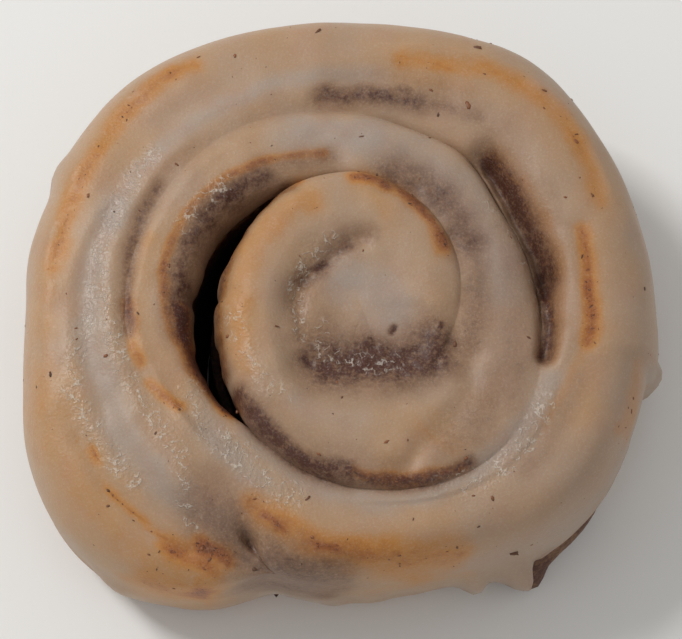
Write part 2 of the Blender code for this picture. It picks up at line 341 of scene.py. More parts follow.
def make_baked_colour():
    """The node group for baked dough. It browns from crumb to dark crust, with cinnamon stains over it, which on the
    icing also paint shade.
    """
    group = bpy.data.node_groups.new("baked_colour", "ShaderNodeTree")
    for name in ("Browning", "Cinnamon", "Mottle"):
        group.interface.new_socket(name, in_out="INPUT", socket_type="NodeSocketFloat")
    group.interface.new_socket("Colour", in_out="OUTPUT", socket_type="NodeSocketColor")
    inside, outside = group.nodes.new("NodeGroupInput"), group.nodes.new("NodeGroupOutput")
    mottle = minus(group, grain(group, 1.3, 5.0, 0.65), 0.5)
    broad = minus(group, grain(group, 6.0, 2.0), 0.5)
    speckle = times(group, mottle, inside.outputs["Mottle"])
    browned = plus(group, inside.outputs["Browning"], times(group, broad, 0.10))
    shift = times(group, speckle, plus(group, inside.outputs["Browning"], 0.05))
    browned = plus(group, browned, shift)
    fine = steps_between(group, grain(group, 0.55, 2.0), 0.57, 0.65)
    spots = times(group, fine, steps_between(group, inside.outputs["Browning"], 0.5, 0.85))
    browned = plus(group, browned, times(group, spots, 0.32))
    ramp = group.nodes.new("ShaderNodeValToRGB")
    ramp.color_ramp.elements.remove(ramp.color_ramp.elements[1])
    ramp.color_ramp.elements[0].position = BAKED_STEPS[0][0]
    ramp.color_ramp.elements[0].color = (*BAKED_STEPS[0][1], 1)
    for position, colour in BAKED_STEPS[1:]:
        ramp.color_ramp.elements.new(position).color = (*colour, 1)
    group.links.new(browned, ramp.inputs[0])
    gritty = times(group, minus(group, grain(group, 0.6, 3.0), 0.5), 0.9)
    uneven = plus(group, plus(group, 1.0, gritty), times(group, mottle, 1.1))
    stain_and_shade = times(group, inside.outputs["Cinnamon"], uneven)
    stain_and_shade_capped = maths(group, "MINIMUM", stain_and_shade, 0.96)
    colour = mix_colour(group, stain_and_shade_capped, ramp.outputs[0], CINNAMON_AND_SHADE_TONE)
    group.links.new(colour, outside.inputs["Colour"])
    return group


BAKED_COLOUR = make_baked_colour()


def use_group(tree, group, **inputs):
    """A node of the group in the tree, with its inputs linked to sockets or set to numbers."""
    node = tree.nodes.new("ShaderNodeGroup")
    node.node_tree = group
    for name, value in inputs.items():
        if isinstance(value, bpy.types.NodeSocket):
            tree.links.new(value, node.inputs[name])
        else:
            node.inputs[name].default_value = value
    return node.outputs[0]


def painted(tree):
    """The sockets of the four masks in the attribute "paint"."""
    attribute = tree.nodes.new("ShaderNodeAttribute")
    attribute.attribute_name = "paint"
    split = tree.nodes.new("ShaderNodeSeparateColor")
    tree.links.new(attribute.outputs["Color"], split.inputs[0])
    return *split.outputs, attribute.outputs["Alpha"]


def bumped(tree, height, distance, strength=1.0):
    """The socket of a normal bent by a height, which is a fraction of distance millimetres."""
    bump = tree.nodes.new("ShaderNodeBump")
    bump.inputs["Distance"].default_value = distance * MM
    bump.inputs["Strength"].default_value = strength
    tree.links.new(height, bump.inputs["Height"])
    return bump.outputs["Normal"]


SLOT_SHADE = (0.006, 0.003, 0.002)


def make_crust():
    """The dough's own surface: browned by mask, matt, with the fine pores of bread."""
    material, tree = nodes_for("baked_dough")
    shader = tree.nodes["Principled BSDF"]
    browning, cinnamon, shade, _ = painted(tree)
    colour = use_group(tree, BAKED_COLOUR, Browning=browning, Cinnamon=cinnamon, Mottle=0.9)
    colour = mix_colour(tree, shade, colour, SLOT_SHADE)
    tree.links.new(colour, shader.inputs["Base Color"])
    rough = plus(tree, 0.5, times(tree, grain(tree, 1.5), 0.3))
    tree.links.new(rough, shader.inputs["Roughness"])
    pores = plus(tree, grain(tree, 0.9, 4.0, 0.7), times(tree, grain(tree, 3.5), 1.2))
    tree.links.new(bumped(tree, pores, 0.35), shader.inputs["Normal"])
    shader.inputs["Subsurface Weight"].default_value = 0.15
    shader.inputs["Subsurface Radius"].default_value = (1.0, 0.5, 0.25)
    shader.inputs["Subsurface Scale"].default_value = 0.0015
    return material


def half_slot(angles):
    """Half the width of the slot in the dough, with the gap added where the turns stand apart."""
    return along(SLOT, angles) + along(GAP, angles)


def crevice_icing(angles):
    """The icing's thickness over the crevices."""
    return along(ICING_CREVICE, angles)


def bared_side(angles):
    """1 where the icing left the foot of the dough bare, low on the right, and 0 elsewhere."""
    return soft_step(1017, 1024, angles) * (1 - soft_step(1046, 1055, angles))


COIL_ROW_STEP = 2
# The bulge at the foot of the bare side, and the knob of dough at its left end: angle, half width and height out.
BULGE = 2.5
KNOB = (1027.0, 5.0, 4.0)


def make_coil():
    """The baked dough, from five kinds of grid: tops, side, base and the two sides of the filling's slot."""
    rows = rows_of(COIL_ROW_STEP)
    turn_rows = TURN // COIL_ROW_STEP
    columns = np.linspace(0, 1, 33)
    radii, heights = crowns(rows, columns, rim_in, half_slot, ICING_TOP, crevice_icing)
    tops = place(rows[:, None], radii, heights)
    heights = heights + sunk(tops) * soft_step(RIM_HEIGHT, 30, heights)
    tops = place(rows[:, None], radii, heights)

    last = rows >= SEAM_EXIT - ROUNDING
    share = np.linspace(1, 0, 25)
    lean = np.interp(share, *np.array(SIDE_LEAN).T)
    rim, widest = radii[last, -1][:, None], heights[last, -1][:, None]
    side = place(rows[last][:, None], rim - lean, widest * share)
    angle, radius = polar(side)
    fold = 0.35 * lumps(side, 6.0, 3) + 0.18 * lumps(side, 2.5, 4)
    fold *= np.sin(np.pi * share) ** 0.5
    bulge = BULGE * bared_side(rows[last])[:, None] * (1 - soft_step(6, 14, side[..., 2]))
    bulge *= 1 + 0.1 * lumps(side, 9.0, 9)
    centre, half_width, out = KNOB
    knob = out * np.exp(-(((rows[last] - centre) / half_width) ** 2))
    bulge += knob[:, None] * (1 - soft_step(2, 10, side[..., 2]))
    side = place(angle, radius + fold + bulge, side[..., 2])

    foot_in = np.where(in_core(rows), 0, rim_in(rows - TURN) + along(SLOT, rows - TURN))
    foot_out = rim_in(rows) - along(SLOT, rows)
    foot_out[last] = polar(side)[1][:, -1]
    foot_in[-1] = foot_out[-1]
    across = np.linspace(0, 1, 9)
    foot = foot_in[:, None] + (foot_out - foot_in)[:, None] * across
    base = place(rows[:, None], foot, 0 * foot)
    dents = np.clip(lumps(base, 5.0, 5) * 0.9 - 0.1, 0, 1) * np.sin(np.pi * across) ** 2
    base[..., 2] += 0.5 * dents * np.clip((foot_out - foot_in) / 8, 0, 1)[:, None]

    grids = [tops, side, base]
    low = 1 - soft_step(0, 7, side[..., 2] + 2 * lumps(side, 7.0, 6))
    bare = bared_side(rows[last])[:, None] * (0.75 + 0.15 * lumps(side, 5.0, 10))
    brown = 0.3 + 0.5 * low * (1 - 0.6 * bare) + 0.1 * lumps(side, 4.0, 7)
    side_paint = np.stack([brown, 1.1 * bare, 0 * low, 0 * low], -1)
    ring = 0.72 + 0.12 * lumps(base, 8.0, 8) + 0.2 * abs(2 * across - 1) ** 6
    base_paint = np.stack([ring, 0.25 * abs(2 * across - 1) ** 4 + 0 * ring, 0 * ring, 0 * ring], -1)
    paints = [np.array((0.2, 0, 0, 0)), side_paint, base_paint]

    slit = rows_within(rows, SLOT)
    depth = np.linspace(0, 1, 13)
    for at, column in ((slit, -1), (slit + turn_rows, 0)):
        mouth, floor = radii[at, column][:, None], (foot_out if column else foot_in)[at][:, None]
        wall = place(rows[at][:, None], mouth + (floor - mouth) * depth, heights[at, column][:, None] * (1 - depth))
        grids.append(wall)
        dark = soft_step(0.0, 0.32, depth) + 0 * mouth
        paints.append(np.stack([0.8 + 0 * dark, 0.9 + 0 * dark, dark, 0 * dark], -1))
    return mesh_piece("baked_coil", grids, paints, make_crust())


coil = make_coil()
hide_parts("dough")
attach(coil, "root")

# The cinnamon filling
# Ground cinnamon and brown sugar rubbed into butter, spread on the dough before it was rolled. Baked, it is a thin,
# dark, grainy band that follows the coil down to the base, and it shows underneath and down in the open gap.

DARK_PASTE = (0.022, 0.009, 0.007)
RED_GRAINS = (0.10, 0.034, 0.018)
BAND_START, BAND_END = 114, 930
BAND_ROW_STEP = 1.5
BAND_THICKNESS = 1.4
BAND_CLEARANCE = 0.3
BAND_DIP = 0.4
BAND_TOP_IN_GAP = 20.0


def make_paste():
    """Dark, damp paste: near black in its hollows and red-brown on its grains."""
    material, tree = nodes_for("cinnamon_paste")
    shader = tree.nodes["Principled BSDF"]
    fine = grain(tree, 0.7, 5.0, 0.7)
    colour = mix_colour(tree, steps_between(tree, fine, 0.35, 0.7), DARK_PASTE, RED_GRAINS)
    tree.links.new(colour, shader.inputs["Base Color"])
    tree.links.new(plus(tree, 0.35, times(tree, fine, 0.4)), shader.inputs["Roughness"])
    tree.links.new(bumped(tree, fine, 0.5), shader.inputs["Normal"])
    return material


def make_filling():
    """The strip of filling: an oblong section, swept along the seam, its faces roughened by small lumps."""
    angles = np.arange(BAND_START, BAND_END + 0.1, BAND_ROW_STEP)
    brim = along(CREVICE, angles) - crevice_icing(angles)
    bared = np.clip(along(GAP, angles), 0, 1)
    top = (brim - BAND_DIP) * (1 - bared) + BAND_TOP_IN_GAP * bared
    inner_foot = rim_in(angles) - along(SLOT, angles) + BAND_CLEARANCE
    inner_top = inner_foot - along(GAP, angles) * top / brim
    width = np.minimum(BAND_THICKNESS, 2 * (along(SLOT, angles) - BAND_CLEARANCE))
    rise = np.linspace(0, 1, 14)
    heights = BAND_CLEARANCE + (top[:, None] - BAND_CLEARANCE) * rise
    inner = inner_foot[:, None] + (inner_top - inner_foot)[:, None] * rise
    near = place(angles[:, None], inner, heights)
    rough = 0.22 * lumps(near, 1.6, 11) * (rise * (1 - rise) * 4) ** 0.4
    near = place(angles[:, None], inner + rough, heights)
    far = place(angles[:, None], inner + width[:, None] + rough, heights)
    ring = np.concatenate([near, far[:, ::-1], near[:, :1]], 1)
    ends = [np.stack([near[k], far[k]]) for k in (0, -1)]
    none = np.zeros(4)
    return mesh_piece("cinnamon_band", [ring, *ends], [none] * 3, make_paste())


filling = make_filling()
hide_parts("cinnamon_filling")
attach(filling, "root")

# The icing
# Powdered sugar beaten with butter and milk, poured while the roll was warm. It is a thin, half clear skin on the
# crowns, where the baked colours show through, and thick and pale in the crevices. On the side it has run in tongues.

# How high the icing's lower edge hangs above the table.
ICING_EDGE = (
    (SEAM_EXIT, 5.0), (984, 6.0), (996, 6.5), (1005, 5.5), (1012, 4.0), (1015.5, 2.6), (1018, 3.2), (1022, 2.4),
    (1026, 2.2), (1030, 6.0), (1035, 10.0), (1044, 9.5), (1052, 7.0), (1060, 6.0), (1070, 6.5), (1074, 4.5),
    (1080, 8.5), (1094, 7.5), (1107, 9.5), (1122, 8.5), (1134, 5.8), (1144, 9.0), (1161, 9.8), (1176, 8.0),
    (1188, 6.8), (1200, 9.0), (1215, 9.8), (1226, 7.0), (1233, 4.4), (1240, 7.0), (1251, 8.2), (1262, 5.5),
    (1269, 4.0), (1276, 6.0), (1288, 7.5), (1299, 4.5), (1305, 3.2), (1312, 5.0), (1323, 5.5), (TAIL_END, 5.0),
)
ICING_ROW_STEP = 1.2
ICING_COLUMNS = np.linspace(0, 1, 47)
UNDER_COLUMNS = np.linspace(0, 1, 17)
UNDER_CLEARANCE = 0.3
SLOT_CLEARANCE = 0.35
SIDE_CLEARANCE = 0.4
# How deep the icing has pooled in each crevice, in millimetres.
POOLING = (
    (CORE_START, 0.05), (60, 0.05), (100, 1.0), (150, 1.3), (210, 1.3), (250, 1.5), (330, 1.5), (370, 1.2),
    (420, 0.9), (455, 0.5), (474, 0.25), (588, 0.25), (622, 0.35), (640, 0.8), (655, 1.0), (690, 0.9), (704, 1.0),
    (716, 1.1), (750, 1.3), (775, 1.2), (795, 1.0), (815, 1.9), (850, 2.6), (900, 3.2), (940, 3.2),
    (958, 2.4), (SEAM_EXIT, 0),
)
# The dish of icing that drowns the innermost turn: its floor, and how wide it blends into the crowns round it.
DISH_FLOOR = 37.6
DISH_BLEND = 5.5
# The radius out to which the middle is one dish of icing, by direction.
DISH_BRIM = (
    (0, 15.5), (30, 16.0), (78, 17.0), (102, 17.0), (150, 16.0), (200, 17.0), (240, 19.5), (315, 19.5),
    (345, 17.0), (360, 15.5),
)
# The tongues that stand out on the side: angle, half width along the side, and how far each stands out.
DRIPS = (
    (984, 3.0, 0.6), (1015.7, 1.9, 2.6), (1020.5, 2.4, 1.3), (1024.8, 1.9, 4.4), (1075.8, 2.4, 1.9),
    (1094, 3.5, 0.4), (1134, 3.0, 0.6), (1188, 3.0, 0.5), (1233, 2.6, 0.9), (1247, 2.6, 0.6), (1268, 3.0, 0.7),
    (1305, 3.2, 0.9),
)
# Streaks are (strength, half width, stations), with each station an angle along the coil and a radius.
# Crust that shows through the icing, from tan at 0.27 to dark at 1.
BROWNED = (
    (0.24, 7.0, ((985, 42.0), (1035, 41.0), (1080, 42.5), (1125, 47.0), (1170, 48.5), (1215, 51.0), (1262, 54.5))),
    (0.50, 3.0, ((1106, 44.9), (1111, 45.8), (1118, 47.4), (1124, 48.5), (1130, 49.0), (1137, 49.1), (1144, 48.3),
                 (1153, 46.7), (1161, 46.1))),
    (0.29, 3.2, ((1145, 44.0), (1154, 42.9), (1166, 42.7))),
    (0.54, 2.7, ((1203, 53.8), (1212, 54.1), (1221, 54.0), (1234, 53.3), (1247, 52.5), (1251, 52.3))),
    (0.32, 2.8, ((1252, 52.6), (1261, 52.3), (1271, 52.9), (1280, 54.6))),
    (0.33, 6.5, ((1272, 55.0), (1285, 55.2), (1293, 54.7), (1303, 54.2), (1312, 53.4), (1320, 53.1))),
    (0.44, 4.0, ((1312, 52.0), (1322, 52.0))),
    (0.55, 4.5, ((1311, 57.0), (1321, 54.0))),
    (0.60, 1.0, ((1285, 51.5), (1289, 50.7), (1296, 51.1), (1305, 50.5), (1315, 49.0))),
    (0.75, 2.8, ((1316, 47.6), (1321, 46.9))),
    (0.70, 1.9, ((1319, 52.7), (1322, 52.7))),
    (0.62, 3.2, ((1311, 50.5), (1320, 49.8))),
    (0.68, 2.0, ((1071, 37.8), (1079, 38.5), (1085, 38.4), (1095, 39.1), (1101, 39.6))),
    (0.38, 2.2, ((1047, 36.1), (1055, 36.2), (1064, 36.8), (1071, 37.8))),
    (0.42, 3.0, ((1066, 32.5), (1082, 33.0), (1099, 34.3), (1118, 35.7), (1131, 36.6))),
    (0.44, 2.6, ((1056, 47.9), (1070, 47.4))),
    (0.42, 4.0, ((1022, 53.0), (1028, 53.0))),
    (0.55, 3.8, ((961, 37.6), (972, 38.9), (980, 40.2), (987, 40.3), (999, 41.5), (1012, 43.2))),
    (0.71, 1.4, ((965, 38.0), (969, 38.8), (971, 39.3))),
    (0.70, 1.4, ((979, 40.3), (984, 40.2))),
    (0.55, 1.5, ((995, 41.6), (1005, 43.0))),
    (0.34, 2.4, ((880, 38.4), (892, 39.0), (902, 38.4), (912, 38.0))),
    (0.60, 1.9, ((898, 38.9), (906, 38.4), (914, 38.0))),
    (0.62, 1.7, ((920, 37.4), (925, 36.1), (929, 34.6))),
    (0.62, 1.4, ((823, 28.6), (840, 31.0), (852, 32.9), (862, 33.7), (872, 34.2), (881, 34.2), (889, 33.8),
                 (898, 32.8), (907, 32.0), (915, 30.6), (926, 29.2), (938, 28.2))),
    (0.86, 1.7, ((900, 30.4), (907, 30.2), (913, 29.7), (923, 28.8), (931, 28.0), (939, 27.4))),
    (0.42, 4.2, ((475, 19.8), (491, 20.3), (508, 20.6), (526, 20.4), (543, 20.6), (559, 21.4), (571, 22.0))),
    (0.52, 1.5, ((475, 25.0), (493, 24.5), (503, 24.5), (515, 24.0), (528, 23.5), (541, 23.8), (554, 24.3),
                 (565, 25.5))),
    (0.68, 2.3, ((398, 17.4), (410, 18.7), (422, 20.5), (433, 21.7), (444, 22.6), (453, 23.1))),
    (0.32, 3.4, ((436, 16.4), (443, 18.8), (450, 21.4))),
    (0.62, 1.5, ((628, 28.4), (642, 29.7), (651, 30.5), (661, 31.6))),
    (0.33, 3.8, ((655, 22.5), (661, 29.0))),
    (0.20, 3.5, ((820, 35.0), (850, 36.0), (880, 35.5), (905, 34.5), (925, 33.0))),
)
# Filling that shows through the icing, and painted shade in the same dark tint where marked below.
CINNAMON_AND_SHADE_SHOWING = (
    (0.82, 3.2, ((845, 29.2), (852, 29.8), (862, 30.6), (872, 31.0), (884, 31.0), (895, 30.6), (907, 30.2))),
    (0.70, 1.8, ((895, 30.6), (907, 30.2), (918, 29.3), (930, 28.0))),
    (0.45, 2.2, ((821, 27.8), (831, 28.8), (845, 29.8))),
    (0.74, 1.9, ((480, 25.3), (503, 25.0), (515, 24.7), (528, 24.3), (541, 24.6), (554, 25.0), (565, 25.8))),
    (1.00, 2.0, ((576, 25.7), (587, 26.1), (598, 26.8), (608, 27.7), (619, 28.2), (626, 28.5))),
    (0.80, 1.5, ((626, 28.8), (642, 30.2), (651, 31.2), (664, 31.6))),
    (0.30, 3.4, ((580, 24.2), (598, 25.2), (619, 26.4), (640, 28.4))),
    (0.85, 2.1, ((1163, 39.0), (1170, 39.2), (1180, 39.6))),
    (0.72, 2.1, ((1155, 38.8), (1163, 39.0))),
    (0.50, 2.0, ((1140, 40.0), (1147, 39.2), (1157, 38.8))),
    (0.75, 0.8, ((1158, 40.6), (1161, 40.7))),
    (0.26, 4.5, ((1134, 40.0), (1150, 41.5), (1176, 41.5))),
    # The right valley: filling showing along its floor, painted shade over its flanks.
    (1.00, 2.5, ((1090, 31.7), (1102, 32.3), (1114, 33.2), (1125, 34.3), (1132, 35.6))),
    (0.98, 1.8, ((1066, 31.2), (1080, 31.5), (1090, 31.8))),
    (0.60, 3.2, ((1076, 31.5), (1089, 31.8), (1102, 32.2), (1114, 32.8), (1125, 33.8), (1133, 35.0))),
    (0.30, 4.2, ((1070, 33.0), (1089, 34.0), (1114, 35.6), (1130, 37.0))),
    (0.20, 2.2, ((1181, 38.7), (1194, 39.0), (1206, 39.8), (1217, 40.5), (1227, 41.0))),
    (0.70, 1.6, ((867, 41.0), (876, 40.8), (883, 40.4), (891, 39.6), (905, 39.2))),
    (0.42, 2.0, ((444, 12.8), (463, 11.5))),
    (0.70, 2.2, ((463, 11.4), (480, 10.4), (492, 10.0), (502, 10.3), (516, 10.8))),
    (1.00, 1.2, ((486, 10.2), (500, 10.4))),
    (0.45, 2.8, ((508, 10.8), (530, 10.8), (560, 11.2), (588, 11.8))),
    (1.00, 6.0, ((238, 10.6), (253, 9.4), (272, 9.0), (291, 9.4), (316, 12.2), (328, 13.4))),
    (0.80, 2.4, ((222, 12.8), (240, 12.0))),
    (1.00, 0.9, ((322, 6.1), (329, 6.1))),
    (1.00, 1.3, ((288, 5.6), (291, 9.2))),
    (0.95, 0.8, ((346, 13.5), (348, 13.5))),
    (1.00, 1.2, ((222, 12.8), (231, 12.9))),
    # Painted shade inside the pinhole.
    (0.80, 1.2, ((963.5, 42.6), (965, 43.0))),
    (0.30, 3.0, ((952, 37.5), (957, 38.5))),
    (0.40, 3.4, ((1024, 54.0), (1034, 53.0))),
    (0.26, 2.4, ((1035, 38.8), (1050, 38.2), (1062, 38.4))),
    # The notch under the overhang: a purple-brown stain with painted shade over it.
    (0.64, 5.5, ((953, 41.8), (962, 43.0), (973, 45.0), (984, 45.5))),
    # Painted shade: the second turn's right half beside the higher disc, and the disc's right edge.
    (0.74, 4.6, ((754, 21.8), (769, 23.2), (782, 24.4), (797, 25.2))),
    (0.48, 4.2, ((690, 18.6), (731, 19.8), (754, 21.8))),
    (0.38, 6.0, ((672, 27.0), (690, 26.0), (724, 25.5), (750, 27.0))),
    (0.38, 5.0, ((660, 27.0), (690, 24.0))),
    (0.20, 5.0, ((350, 14.0), (375, 14.0))),
)
# Icing thick enough to be milky.
THICK_ICING = (
    (0.95, 4.2, ((1235, 45.5), (1249, 46.4), (1257, 45.6), (1271, 45.0), (1282, 44.8), (1295, 44.4), (1306, 43.8),
                 (1316, 42.0))),
    (0.80, 2.6, ((1165, 42.5), (1190, 43.5), (1215, 44.5), (1235, 45.5))),
    (0.85, 3.4, ((948, 27.6), (980, 31.1), (1010, 32.6), (1035, 33.6), (1059, 33.4))),
    (0.95, 6.0, ((-19, 5.0), (30, 4.0), (70, 3.9), (117, 6.5))),
    (0.95, 6.0, ((730, 24.0), (760, 25.0), (790, 28.0), (810, 31.0), (830, 33.5))),
    (0.55, 4.5, ((690, 23.0), (700, 24.0), (725, 24.5))),
    (0.60, 4.0, ((596, 19.5), (612, 20.0), (628, 20.0))),
    (0.70, 5.0, ((958, 43.0), (968, 45.0), (978, 46.0))),
    (0.85, 4.0, ((930, 32.0), (943, 33.0), (955, 33.5), (966, 34.5))),
)
# Icing so thin over browned crust that it is clear.
GOLDEN = (
    (0.9, 4.5, ((478, 22.5), (500, 21.5), (526, 21.5), (548, 19.5))),
    (0.9, 3.2, ((440, 20.0), (449, 21.0))),
    (0.8, 3.0, ((882, 37.5), (897, 37.2), (908, 36.2), (920, 35.2), (930, 33.6))),
    (0.9, 3.6, ((642, 27.0), (650, 25.6), (662, 23.6))),
    (0.9, 4.5, ((968, 37.5), (982, 38.6), (994, 40.3), (1006, 41.8))),
    (0.8, 4.5, ((1106, 45.9), (1124, 48.5), (1144, 48.3), (1161, 46.1))),
    (0.8, 3.5, ((1203, 53.8), (1221, 54.0), (1247, 52.5), (1262, 52.3))),
    (0.7, 7.0, ((1276, 55.0), (1293, 54.7), (1312, 54.4), (1320, 54.1))),
    (0.8, 3.0, ((1054, 40.5), (1071, 38.8), (1095, 39.6))),
)
# Icing still wet, which shines and wrinkles, and where highlights are painted as pale lines.
SHINING = (
    (1.0, 2.2, ((1222, 45.5), (1246, 45.3), (1256, 44.9), (1264, 46.3), (1276, 50.0), (1285, 48.7), (1298, 47.5))),
    (1.0, 2.0, ((1256, 43.2), (1265, 41.8), (1275, 40.7), (1293, 38.6), (1301, 39.6), (1312, 45.5))),
    (1.0, 3.2, ((928, 31.8), (938, 33.0), (951, 32.1), (958, 33.4), (969, 33.6))),
    (0.8, 2.6, ((856, 32.2), (864, 33.0), (873, 33.4))),
    (1.0, 1.6, ((473, 13.2), (500, 12.0), (518, 11.5), (540, 10.6), (568, 11.2))),
    (0.8, 2.5, ((210, 7.1), (227, 9.7), (262, 9.0), (300, 10.5))),
    (0.7, 2.6, ((545, 21.5), (560, 20.7), (576, 20.9), (591, 20.2))),
    (0.9, 2.6, ((1014, 33.0), (1025, 35.0), (1035, 35.2), (1045, 34.8), (1053, 34.4))),
    (0.3, 4.5, ((1210, 57.5), (1235, 55.5), (1262, 55.5), (1285, 57.5))),
    (0.6, 1.6, ((720, 30.2), (734, 29.4), (752, 28.8), (762, 28.4))),
)
# Relief in the same form, with the height of each ridge or groove in place of the strength.
RELIEF = (
    (0.40, 0.9, ((1106, 47.4), (1118, 49.9), (1130, 51.4), (1144, 50.7), (1161, 48.4))),
    (-0.35, 1.8, ((1106, 44.9), (1118, 47.4), (1130, 49.0), (1144, 48.3), (1161, 46.1))),
    (-0.45, 1.8, ((1203, 53.8), (1221, 54.0), (1234, 53.3), (1251, 52.3))),
    (-0.80, 1.0, ((1285, 51.5), (1289, 50.7), (1296, 51.1), (1305, 50.5), (1315, 49.5))),
    (-0.45, 1.5, ((1071, 37.8), (1079, 38.5), (1085, 38.4), (1101, 39.6))),
    (0.30, 1.5, ((966, 42.6), (969, 43.4), (975, 45.0), (980, 46.6), (986, 47.9))),
    (-0.6, 1.4, ((514, 10.4), (540, 10.6), (566, 11.2))),
    (-0.90, 2.2, ((646, 28.0), (650, 25.9), (663, 23.7), (679, 22.7), (695, 20.0))),
    (0.45, 1.3, ((1235, 47.5), (1249, 49.5), (1264, 49.0), (1280, 48.6), (1300, 48.6), (1312, 47.8))),
    (0.35, 1.3, ((1215, 42.5), (1240, 43.2), (1262, 42.0), (1285, 40.5))),
    (0.20, 2.6, ((975, 36.0), (1000, 37.6), (1030, 37.4), (1055, 35.6))),
)


def layered(points, streaks):
    """The strongest streak at each point, with the strength uneven by a fifth."""
    cover = np.zeros(points.shape[:-1])
    for strength, half_width, path in streaks:
        cover = np.maximum(cover, strength * streak(points, path, half_width, 0.2 + 0.14 * half_width))
    return cover * (1 + 0.11 * lumps(points, 4.0, 28) + 0.10 * lumps(points, 1.6, 29))


# How far along the side the stains on it wander.
WANDER = 3.5


def icing_paint(points):
    """The masks for browning, cinnamon showing with painted shade, milky icing with painted light, and wet shine. Low
    on the side they wander and fade.
    """
    side = 1 - soft_step(24, 33, points[..., 2])
    slid = points + np.array((WANDER, 0, 0)) * (side * lumps(points, 6.0, 36))[..., None]
    kept = soft_step(6, 25, points[..., 2] + 5 * lumps(points, 7.0, 35))
    brown = layered(slid, BROWNED) * (0.3 + 0.7 * kept)
    spice = layered(slid, CINNAMON_AND_SHADE_SHOWING) * (0.05 + 0.95 * kept)
    thick = layered(slid, THICK_ICING)
    brown = np.maximum(brown, 0.12 + 0.05 * lumps(points, 9.0, 23))
    # The cinnamon mask also carries painted shade here: a little more of it towards +X, the side turned from the
    # window.
    spice = np.maximum(spice, 0.06 + 0.05 * lumps(points, 11.0, 33) + 0.07 * soft_step(0, 50, points[..., 0]))
    belly = streak(points, ((1296, 56.0), (1320, 53.0)), 9.0)
    cover = np.maximum(0.32 + 0.14 * lumps(points, 7.0, 24), 0.88 * thick) + 0.25 * side * (1 - belly)
    # Painted light: more of the pale film towards +X, to lighten the side turned from the window.
    cover += 0.12 * soft_step(5, 45, points[..., 0])
    gold = layered(slid, GOLDEN) * (0.3 + 0.7 * kept)
    wet = 0.1 + 0.9 * layered(points, SHINING)
    return np.stack([brown, spice, cover * (1 - 0.9 * gold), wet], -1)


def pooled(rows, columns, heights):
    """Heights with icing pooled in the crevices: the fourth root of the arch's and the pool's fourth powers."""
    ease = soft_step(0.3, 0.7, columns)
    level = along(CREVICE, rows - TURN)[:, None] * (1 - ease) + along(CREVICE, rows)[:, None] * ease
    depth = along(POOLING, rows - TURN)[:, None] * (1 - ease) + along(POOLING, rows)[:, None] * ease
    return level + (np.maximum(heights - level, 0) ** 4 + depth ** 4) ** 0.25


def dished(rows, radii, heights):
    """Heights with the coil's innermost turn drowned: a shallow dish, wider to the right, blended into the rest."""
    brim = along(DISH_BRIM, np.mod(rows, TURN))[:, None]
    higher = 0.5 + 0.5 * np.cos(np.radians(rows - 150))[:, None]
    dish = DISH_FLOOR + 1.7 * soft_step(3, 15, radii) + 0.8 * higher * soft_step(3, 12, radii)
    return dish + (heights - dish) * soft_step(brim - DISH_BLEND, brim, radii)


def icing_seam(angles):
    """The radius of the seam in the icing, with the rim's swells."""
    return along(SEAM, angles) + along(RIM_SWELL, angles)


def open_gap(angles):
    """Half the width of the opening in the icing's top, with ragged lips."""
    at = place(angles, 26 + 0 * angles, 30 + 0 * angles)
    return along(GAP, angles) * (1 + 0.25 * lumps(at, 2.2, 31))


def icing_top():
    """The icing's upper side as a grid of points: the drowned crowns with lumps, ridges and hollows."""
    rows = rows_of(ICING_ROW_STEP)
    radii, heights = crowns(rows, ICING_COLUMNS, icing_seam, open_gap, 0, np.zeros_like)
    heights = dished(rows, radii, pooled(rows, ICING_COLUMNS, heights))
    top = place(rows[:, None], radii, heights)
    lift = 0.4 * lumps(top, 8.0, 25) + 0.16 * lumps(top, 3.2, 26) + sunk(top)
    for height, half_width, path in RELIEF:
        lift += height * streak(top, path, half_width, 0.3)
    lift += 0.3 * soft_step(0.5, 0.9, layered(top, CINNAMON_AND_SHADE_SHOWING)) * lumps(top, 1.5, 32)
    top[..., 2] += lift * soft_step(RIM_HEIGHT, 30, heights)
    return top


MILK = (0.385, 0.325, 0.285)
# The film's colour where it lies over cinnamon stains, and over painted shade.
STAINED_AND_SHADED_MILK = (0.15, 0.088, 0.078)
BLUSH = (0.40, 0.225, 0.165)
# Pale colour painted as glints of the window along wet lines, and as fine pale specks everywhere.
PALE_SPECK_AND_GLINT = (0.68, 0.61, 0.53)
CRINKLE = 0.26


